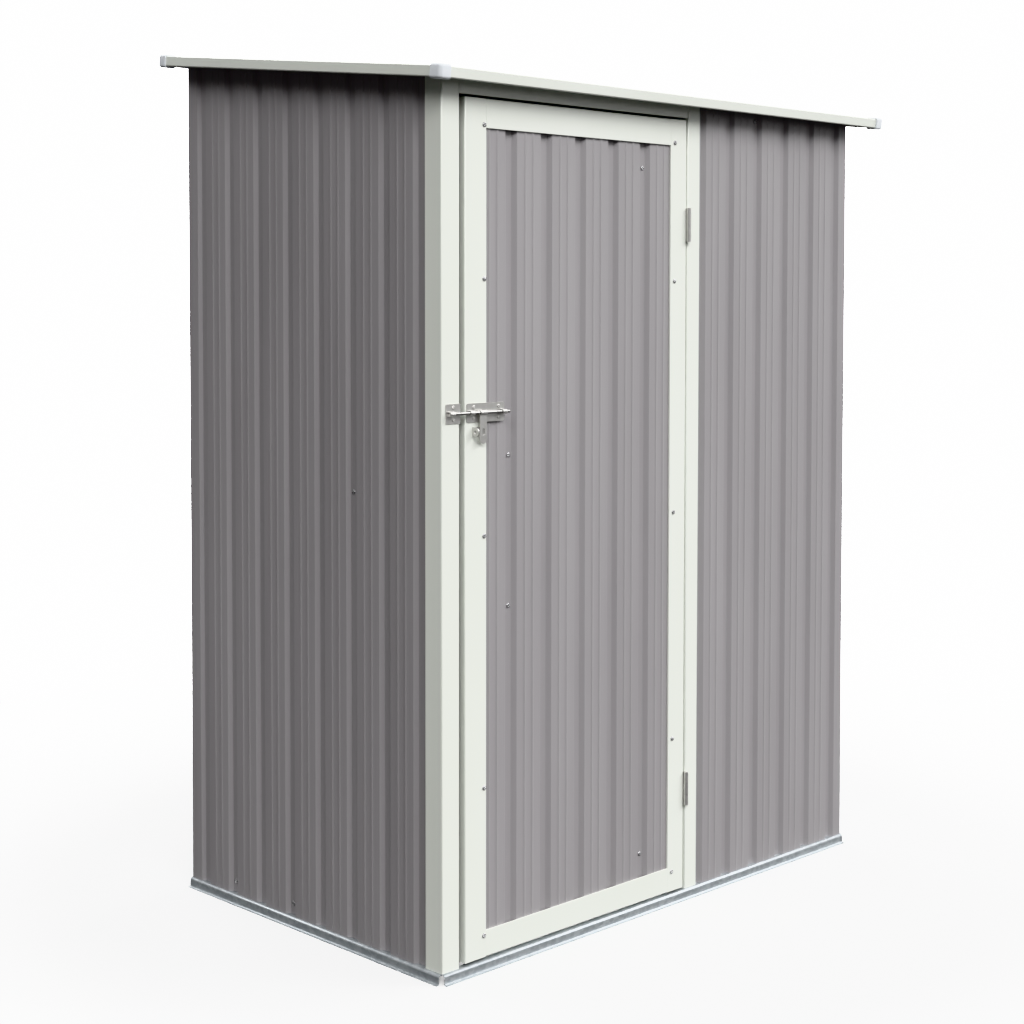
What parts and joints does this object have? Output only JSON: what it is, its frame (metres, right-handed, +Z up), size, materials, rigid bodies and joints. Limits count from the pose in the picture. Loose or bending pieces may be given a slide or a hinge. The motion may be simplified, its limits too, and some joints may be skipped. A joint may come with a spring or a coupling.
{
  "type": "metal storage shed",
  "caption": "Small lean-to garden shed of ribbed grey steel sheet on galvanised base rails, with a white framed door that swings, a sliding padlock bolt and a sloping roof with capped corners.",
  "frame": {"origin": "on the ground, under the middle of the roof's outline", "axes": "+Z up, -Y out of the front with the door, +X to the right seen from the front"},
  "size_m": [1.4528, 0.911, 1.8486],
  "materials": {
    "grey_sheet": "satin paint on ribbed steel",
    "white_frame": "satin off-white paint on folded steel",
    "galvanised": "dull galvanised steel",
    "zinc": "bright zinc plate",
    "white_plastic": "matt white moulding"
  },
  "bodies": {
    "shed": {"base_rail_front": "galvanised", "base_rail_back": "galvanised", "base_rail_left": "galvanised", "base_rail_right": "galvanised", "left_wall_front": "grey_sheet", "left_wall_rear": "grey_sheet", "right_wall_front": "grey_sheet", "right_wall_rear": "grey_sheet", "back_wall_left": "grey_sheet", "back_wall_right": "grey_sheet", "front_wall": "grey_sheet", "latch_post": "white_frame", "hinge_jamb": "white_frame", "door_header": "white_frame", "top_rail_front": "galvanised", "top_rail_back": "galvanised", "top_rail_left": "galvanised", "top_rail_right": "galvanised", "mid_rail_left": "galvanised", "mid_rail_right": "galvanised", "mid_rail_back": "galvanised", "roof_sheet_left": "grey_sheet", "roof_sheet_right": "grey_sheet", "roof_trim_front": "white_frame", "roof_trim_back": "white_frame", "roof_trim_left": "white_frame", "roof_trim_right": "white_frame", "roof_corner_caps": "white_plastic", "upper_hinge_jamb_leaf": "zinc", "lower_hinge_jamb_leaf": "zinc", "bolt_keeper": "zinc"},
    "door": {"door_sheet": "grey_sheet", "door_latch_stile": "white_frame", "door_hinge_stile": "white_frame", "door_top_rail": "white_frame", "door_bottom_rail": "white_frame", "door_brace_upper": "galvanised", "door_brace_lower": "galvanised", "upper_hinge_door_leaf": "zinc", "lower_hinge_door_leaf": "zinc", "bolt_plate": "zinc"},
    "bolt_rod": {"bolt_rod": "zinc"},
    "bolt_arm": {"bolt_arm": "zinc"}
  },
  "joints": [
    {"name": "door_swing", "type": "hinge", "parent": "shed", "child": "door", "pos_m": [0.0465, -0.4118, 1], "axis": [0, 0, 1], "range_deg": [0, 150]},
    {"name": "bolt_slide", "type": "slide", "parent": "door", "child": "bolt_rod", "axis": [1, 0, 0], "range_m": [-0.008, 0.03]},
    {"name": "bolt_turn", "type": "hinge", "parent": "bolt_rod", "child": "bolt_arm", "pos_m": [-0.577, -0.415, 1.093], "axis": [-1, 0, 0], "range_deg": [0, 120]}
  ]
}
